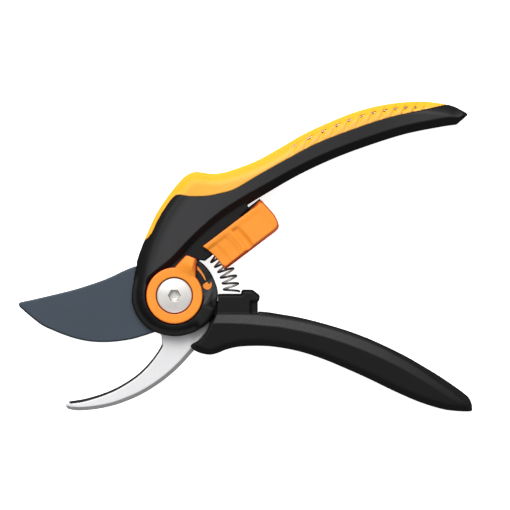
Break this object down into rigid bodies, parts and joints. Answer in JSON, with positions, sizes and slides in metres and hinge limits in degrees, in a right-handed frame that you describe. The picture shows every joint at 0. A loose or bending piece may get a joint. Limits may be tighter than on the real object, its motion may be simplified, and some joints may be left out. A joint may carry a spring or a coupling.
{
  "type": "bypass pruner",
  "caption": "Hand bypass pruner with a dark coated cutting blade, satin steel hook, soft-topped handle, bent return spring, ring lever and lock slider, lying open.",
  "frame": {"origin": "on the pivot axis, in the plane the pruner lies on, which is the closed face of the pivot nut", "axes": "+Z along the pivot towards the bolt head, +X from the pivot along the handles' ends, +Y towards the upper handle; the blades point to -X"},
  "size_m": [0.1956, 0.1337, 0.0188],
  "materials": {
    "black_plastic": "fine-grained glass-filled nylon",
    "soft_yellow": "soft matt thermoplastic elastomer",
    "orange_plastic": "satin moulded acetal",
    "blade_coating": "low-friction blue-grey coating",
    "hook_steel": "fine satin ground",
    "bolt_steel": "satin turned, slightly warm",
    "spring_steel": "bright drawn wire",
    "plain_steel": "plain zinc-plated",
    "bush_bronze": "plain bearing bronze"
  },
  "bodies": {
    "upper_handle": {"upper_handle_core": "black_plastic", "soft_grip": "soft_yellow", "hook_blade": "hook_steel", "hook_pin_inner": "plain_steel", "hook_pin_outer": "plain_steel", "pivot_bolt": "bolt_steel", "pivot_nut": "bolt_steel", "nut_washer": "plain_steel", "head_washer": "spring_steel", "return_spring": "spring_steel", "slider_clip": "spring_steel"},
    "lower_handle": {"lower_handle_core": "black_plastic", "cutting_blade": "blade_coating", "blade_bush": "bush_bronze", "blade_pin_inner": "plain_steel", "blade_pin_outer": "plain_steel"},
    "opening_lever": {"ring_lever": "orange_plastic"},
    "stop_bolt": {"opening_stop": "plain_steel"},
    "lock": {"lock_slider": "orange_plastic"}
  },
  "joints": [
    {"name": "grip_pivot", "type": "hinge", "parent": "upper_handle", "child": "lower_handle", "pos_m": [0, 0, 0.0085], "axis": [0, 0, 1], "range_deg": [0, 39], "stiffness_Nm_per_rad": 1.5, "springref_deg": -15.47, "deforming": ["return_spring"]},
    {"name": "lever_turn", "type": "hinge", "parent": "upper_handle", "child": "opening_lever", "pos_m": [0, 0, 0.016], "axis": [0, 0, 1], "range_deg": [-38, 0]},
    {"name": "stop_slide", "type": "slide", "parent": "upper_handle", "child": "stop_bolt", "axis": [0.848, -0.5299, 0], "range_m": [0, 0.0015]},
    {"name": "lock_slide", "type": "slide", "parent": "upper_handle", "child": "lock", "axis": [-0.7965, -0.6046, 0], "range_m": [0, 0.0045]}
  ],
  "couplings": [
    {"joint": "stop_slide", "follows": "lever_turn", "m_per_rad": -0.0022616}
  ]
}
